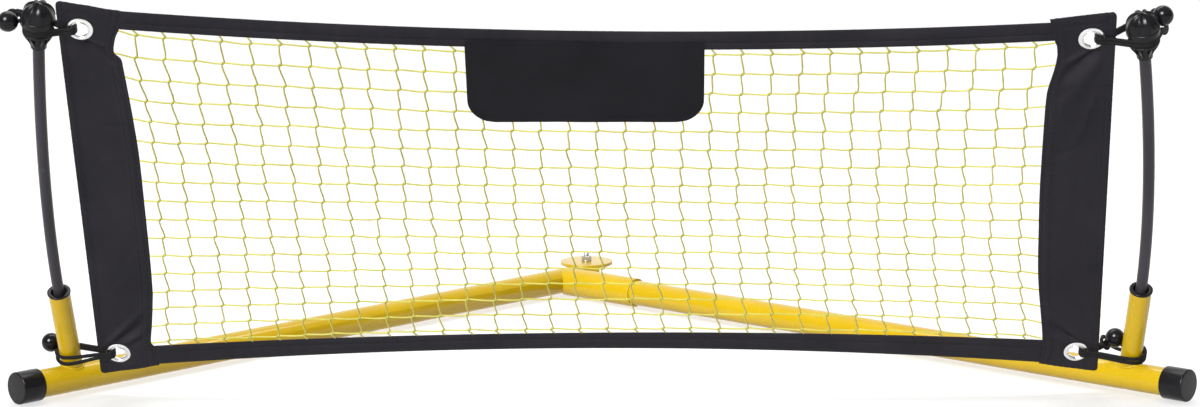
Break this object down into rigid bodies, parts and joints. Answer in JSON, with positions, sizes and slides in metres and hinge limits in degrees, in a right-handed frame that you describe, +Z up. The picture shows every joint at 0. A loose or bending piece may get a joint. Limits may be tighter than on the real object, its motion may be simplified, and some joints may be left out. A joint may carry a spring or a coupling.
{
  "type": "ball rebounder net on folding base",
  "caption": "Low leaning ball-rebounder net with dark fabric borders, held by stretch loops between two poles on a folding V-shaped tube base.",
  "frame": {"origin": "on the floor under the hinge stud, at the centre of the round floor plate's underside", "axes": "+X across to the viewer's right, +Y away from the ball's side, +Z up"},
  "size_m": [1.5841, 1.022, 0.563],
  "materials": {
    "yellow_powder_coat": "gloss",
    "zinc_hardware": "satin",
    "steel_bush": "satin",
    "black_plastic": "satin",
    "pole_grey": "satin",
    "border_fabric": "matte",
    "net_cord": "matte",
    "eyelet_metal": "gloss",
    "stretch_cord": "matte"
  },
  "bodies": {
    "base": {"right_arm_tube": "yellow_powder_coat", "hinge_bracket": "yellow_powder_coat", "pivot_stud": "zinc_hardware", "pivot_washer": "zinc_hardware", "pivot_nut": "zinc_hardware", "right_end_cap": "black_plastic", "right_stub": "yellow_powder_coat", "right_collar": "black_plastic", "left_panel": "border_fabric", "right_panel": "border_fabric", "top_band": "border_fabric", "bottom_band": "border_fabric", "centre_patch": "border_fabric", "net_mesh": "net_cord", "eyelet_top_left": "eyelet_metal", "eyelet_top_right": "eyelet_metal", "eyelet_bottom_left": "eyelet_metal", "eyelet_bottom_right": "eyelet_metal", "ball_bottom_right": "black_plastic", "loop_bottom_right": "stretch_cord"},
    "left_arm": {"left_arm_tube": "yellow_powder_coat", "pivot_bush": "steel_bush", "left_end_cap": "black_plastic", "left_stub": "yellow_powder_coat", "left_collar": "black_plastic", "ball_bottom_left": "black_plastic", "loop_bottom_left": "stretch_cord"},
    "left_pole": {"left_pole": "pole_grey", "left_pole_top": "black_plastic", "ball_top_left": "black_plastic", "loop_top_left": "stretch_cord"},
    "right_pole": {"right_pole": "pole_grey", "right_pole_top": "black_plastic", "ball_top_right": "black_plastic", "loop_top_right": "stretch_cord"}
  },
  "joints": [
    {"name": "frame_fold", "type": "hinge", "parent": "base", "child": "left_arm", "pos_m": [0, 0, 0.0219], "axis": [0, 0, 1], "range_deg": [-265, 0], "deforming": ["loop_top_left", "loop_bottom_left"]},
    {"name": "left_pole_lift", "type": "slide", "parent": "left_arm", "child": "left_pole", "axis": [-0.0153, -0.4756, 0.8795], "range_m": [-0.02, 0.09], "deforming": ["loop_top_left"]},
    {"name": "right_pole_lift", "type": "slide", "parent": "base", "child": "right_pole", "axis": [0.0153, -0.4756, 0.8795], "range_m": [0, 0.11], "deforming": ["loop_top_right"]}
  ]
}
